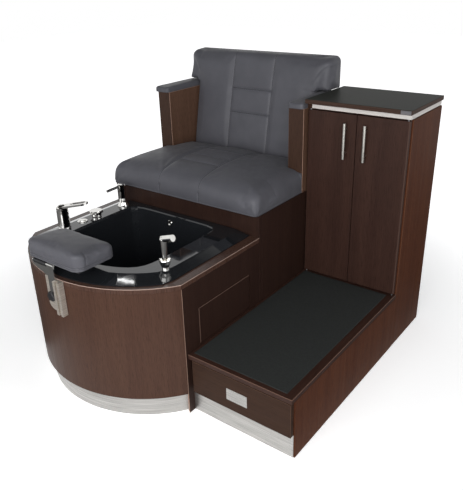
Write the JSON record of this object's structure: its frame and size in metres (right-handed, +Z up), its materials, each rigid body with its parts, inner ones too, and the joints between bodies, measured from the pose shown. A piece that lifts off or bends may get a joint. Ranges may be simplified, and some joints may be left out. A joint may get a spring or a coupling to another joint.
{
  "type": "pedicure spa chair",
  "caption": "Upholstered spa chair on a wood base with a bowed, jetted foot basin, an adjustable footrest, and a side step with a drawer and a two-door cabinet.",
  "frame": {"origin": "middle of the whole object's footprint, on the floor", "axes": "+Z up, -Y the way the seated client faces, +X towards the cabinet and step"},
  "size_m": [1.19, 1.294, 1.102],
  "materials": {
    "wenge": "satin dark veneer",
    "vinyl": "grained grey upholstery vinyl",
    "acrylic": "gloss black",
    "chrome": "polished",
    "aluminium": "brushed",
    "zinc_steel": "zinc plated",
    "rubber": "ribbed matt",
    "laminate": "dark laminate top with veneered edge",
    "birch": "clear lacquer",
    "black_plastic": "fine textured"
  },
  "bodies": {
    "chair": {"apron": "wenge", "apron_kick_plate": "aluminium", "basin_side_left": "wenge", "basin_side_right": "wenge", "service_panel": "wenge", "deck_frame": "wenge", "tub": "acrylic", "overflow_ring": "chrome", "jet_pump": "black_plastic", "drain_waste": "chrome", "mixer_body": "chrome", "valve_body": "chrome", "air_button_bezel": "chrome", "sprayer_collar": "chrome", "base_front_panel": "wenge", "base_side_left": "wenge", "base_side_right": "wenge", "chair_back_panel": "wenge", "seat_board": "wenge", "seat_cushion": "vinyl", "back_cushion": "vinyl", "arm_left": "wenge", "arm_right": "wenge", "arm_pad_left": "vinyl", "arm_pad_right": "vinyl", "cabinet_side_left": "wenge", "cabinet_side_right": "wenge", "cabinet_back": "wenge", "cabinet_floor": "wenge", "cabinet_shelf": "wenge", "cabinet_top_board": "wenge", "reveal_band": "aluminium", "cabinet_slab": "laminate", "door_pivot_rod_left": "zinc_steel", "door_pivot_rod_right": "zinc_steel", "step_top_frame": "wenge", "step_mat": "rubber", "step_side_left": "wenge", "step_side_right": "wenge", "step_kick_plate": "aluminium", "drawer_runner_left": "zinc_steel", "drawer_runner_right": "zinc_steel", "footrest_channel": "chrome"},
    "door_left": {"cabinet_door_left": "wenge", "door_handle_left": "chrome"},
    "door_right": {"cabinet_door_right": "wenge", "door_handle_right": "chrome"},
    "drawer": {"drawer_front": "wenge", "drawer_box": "birch"},
    "footrest_carriage": {"footrest_arm": "chrome"},
    "footrest_pad": {"footrest_board": "black_plastic", "footrest_cushion": "vinyl"},
    "clamp_knob": {"footrest_knob": "black_plastic"},
    "mixer_cap": {"mixer_cap": "chrome"},
    "mixer_lever": {"mixer_lever": "chrome"},
    "valve_lever": {"valve_lever": "chrome"},
    "popup_knob": {"popup_knob": "chrome"},
    "drain_stopper": {"drain_stopper": "chrome"},
    "air_button": {"air_button": "chrome"},
    "sprayer": {"sprayer_head": "chrome"}
  },
  "joints": [
    {"name": "door_left_hinge", "type": "hinge", "parent": "chair", "child": "door_left", "pos_m": [0.1888, 0.35395, 0.59735], "axis": [0, 0, -1], "range_deg": [0, 90]},
    {"name": "door_right_hinge", "type": "hinge", "parent": "chair", "child": "door_right", "pos_m": [0.5765, 0.35395, 0.59735], "axis": [0, 0, 1], "range_deg": [0, 110]},
    {"name": "drawer_slide", "type": "slide", "parent": "chair", "child": "drawer", "axis": [0, -1, 0], "range_m": [0, 0.3]},
    {"name": "footrest_height", "type": "slide", "parent": "chair", "child": "footrest_carriage", "axis": [0, 0, 1], "range_m": [-0.03, 0.045]},
    {"name": "footrest_tilt", "type": "hinge", "parent": "footrest_carriage", "child": "footrest_pad", "pos_m": [-0.2158, -0.62865, 0.567], "axis": [1, 0, 0], "range_deg": [0, 35]},
    {"name": "clamp_knob_turn", "type": "hinge", "parent": "footrest_carriage", "child": "clamp_knob", "pos_m": [-0.2158, -0.63095, 0.456], "axis": [0, -1, 0], "continuous": true},
    {"name": "mixer_swivel", "type": "hinge", "parent": "chair", "child": "mixer_cap", "pos_m": [-0.487, -0.35405, 0.5355], "axis": [0, 0, 1], "range_deg": [-45, 45]},
    {"name": "mixer_lift", "type": "hinge", "parent": "mixer_cap", "child": "mixer_lever", "pos_m": [-0.50608, -0.36597, 0.6187], "axis": [0.5299, -0.848, 0], "range_deg": [0, 25]},
    {"name": "valve_swivel", "type": "hinge", "parent": "chair", "child": "valve_lever", "pos_m": [-0.471, -0.05755, 0.5355], "axis": [0, 0, 1], "range_deg": [0, 90]},
    {"name": "popup_turn", "type": "hinge", "parent": "chair", "child": "popup_knob", "pos_m": [-0.4815, -0.19745, 0.5355], "axis": [0, 0, 1], "range_deg": [0, 90]},
    {"name": "stopper_lift", "type": "slide", "parent": "chair", "child": "drain_stopper", "axis": [0, 0, 1], "range_m": [0, 0.0121]},
    {"name": "air_button_press", "type": "slide", "parent": "chair", "child": "air_button", "axis": [0, 0, -1], "range_m": [0, 0.004], "stiffness_N_per_m": 600, "springref_m": -0.004},
    {"name": "sprayer_pull", "type": "slide", "parent": "chair", "child": "sprayer", "axis": [0, 0, 1], "range_m": [0, 0.22]}
  ],
  "couplings": [
    {"joint": "stopper_lift", "follows": "popup_turn", "m_per_rad": 0.00764}
  ]
}
